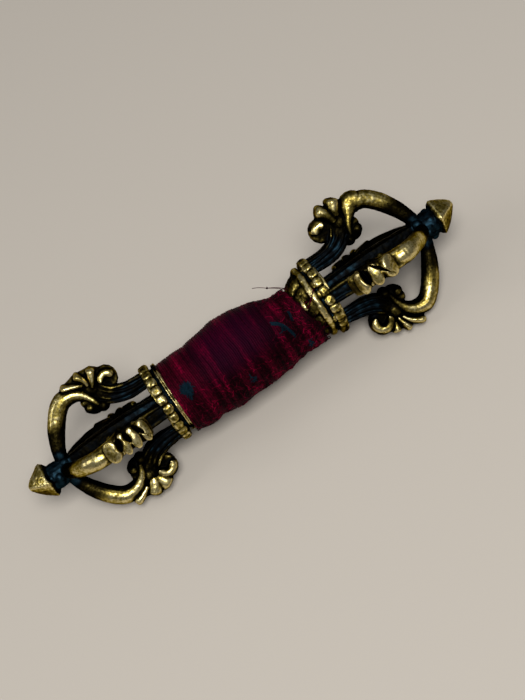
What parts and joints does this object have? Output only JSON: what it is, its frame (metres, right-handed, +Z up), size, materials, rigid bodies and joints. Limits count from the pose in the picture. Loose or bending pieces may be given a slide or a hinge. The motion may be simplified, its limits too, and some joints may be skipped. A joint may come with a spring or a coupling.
{
  "type": "dorje vajra",
  "caption": "Double-headed brass ritual sceptre: makara prongs close round a square centre prong at each end, on lotus collars with pearl rings, and the grip is wound with thread.",
  "frame": {"origin": "the middle of the sceptre on its own axis, halfway between the two tips", "axes": "+X along the length towards the right tip, +Z up when it lies on two prongs of each end, -Y towards the viewer"},
  "size_m": [0.09, 0.0214, 0.0214],
  "materials": {
    "antique_brass": "cast, worn bright on the high places and dark with patina in the recesses",
    "red_thread": "wound silky thread, felted with use",
    "blue_thread": "felted scraps of thread"
  },
  "bodies": {
    "root": {"grip_spindle": "antique_brass", "grip_hub": "antique_brass", "left_lotus_collar": "antique_brass", "right_lotus_collar": "antique_brass", "left_pearl_ring": "antique_brass", "right_pearl_ring": "antique_brass", "left_centre_prong": "antique_brass", "right_centre_prong": "antique_brass", "left_tip": "antique_brass", "right_tip": "antique_brass", "left_front_upper_prong": "antique_brass", "right_front_upper_prong": "antique_brass", "left_rear_upper_prong": "antique_brass", "right_rear_upper_prong": "antique_brass", "left_rear_lower_prong": "antique_brass", "right_rear_lower_prong": "antique_brass", "left_front_lower_prong": "antique_brass", "right_front_lower_prong": "antique_brass", "thread_packing": "red_thread", "thread_winding": "red_thread", "blue_thread_scraps": "blue_thread"}
  },
  "joints": []
}
